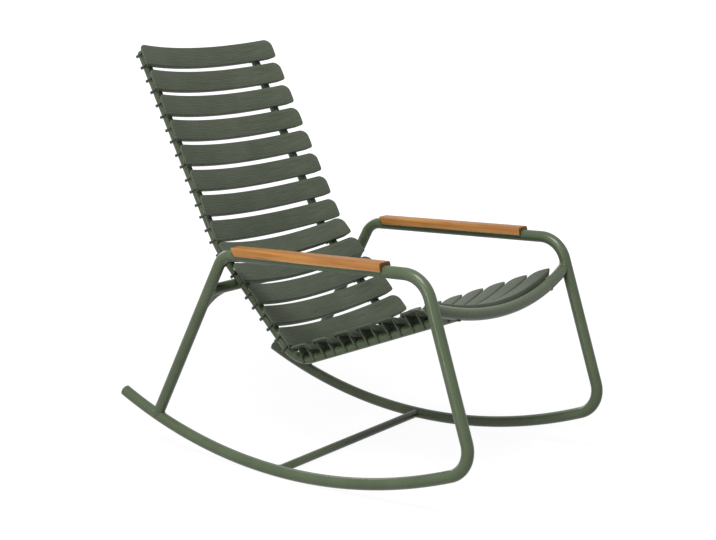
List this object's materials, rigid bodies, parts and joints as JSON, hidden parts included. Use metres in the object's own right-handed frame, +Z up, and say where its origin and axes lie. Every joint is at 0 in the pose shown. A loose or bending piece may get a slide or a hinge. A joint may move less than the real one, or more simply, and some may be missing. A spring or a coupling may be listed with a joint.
{
  "type": "rocking chair",
  "caption": "Rocking lounge chair: bent tube side frames that run on as rockers, a dished slatted seat and tall back, and wooden arm caps.",
  "frame": {"origin": "centre of the bounding box at floor level, between the two rockers", "axes": "+Z up; the chair faces -Y; +X is the sitter's left"},
  "size_m": [0.609, 1.0144, 0.96],
  "materials": {
    "frame_paint": "satin powder coat",
    "slat_plastic": "matt moulded",
    "arm_wood": "oiled",
    "plug_plastic": "matt moulded",
    "screw_steel": "plain"
  },
  "bodies": {
    "root": {"side_frame_left": "frame_paint", "rail_left": "frame_paint", "rear_gusset_left": "frame_paint", "rocker_plug_left": "plug_plastic", "rail_plug_left": "plug_plastic", "side_frame_right": "frame_paint", "rail_right": "frame_paint", "rear_gusset_right": "frame_paint", "rocker_plug_right": "plug_plastic", "rail_plug_right": "plug_plastic", "front_cross_tube": "frame_paint", "rear_cross_tube": "frame_paint", "lower_cross_tube": "frame_paint", "back_slat_01": "slat_plastic", "back_slat_02": "slat_plastic", "back_slat_03": "slat_plastic", "back_slat_04": "slat_plastic", "back_slat_05": "slat_plastic", "back_slat_06": "slat_plastic", "back_slat_07": "slat_plastic", "back_slat_08": "slat_plastic", "back_slat_09": "slat_plastic", "back_slat_10": "slat_plastic", "back_slat_11": "slat_plastic", "back_slat_12": "slat_plastic", "back_slat_13": "slat_plastic", "seat_slat_01": "slat_plastic", "seat_slat_02": "slat_plastic", "seat_slat_03": "slat_plastic", "seat_slat_04": "slat_plastic", "seat_slat_05": "slat_plastic", "seat_slat_06": "slat_plastic", "seat_slat_07": "slat_plastic", "arm_cap_left": "arm_wood", "arm_screw_left_front": "screw_steel", "arm_screw_left_rear": "screw_steel", "arm_cap_right": "arm_wood", "arm_screw_right_front": "screw_steel", "arm_screw_right_rear": "screw_steel"}
  },
  "joints": []
}
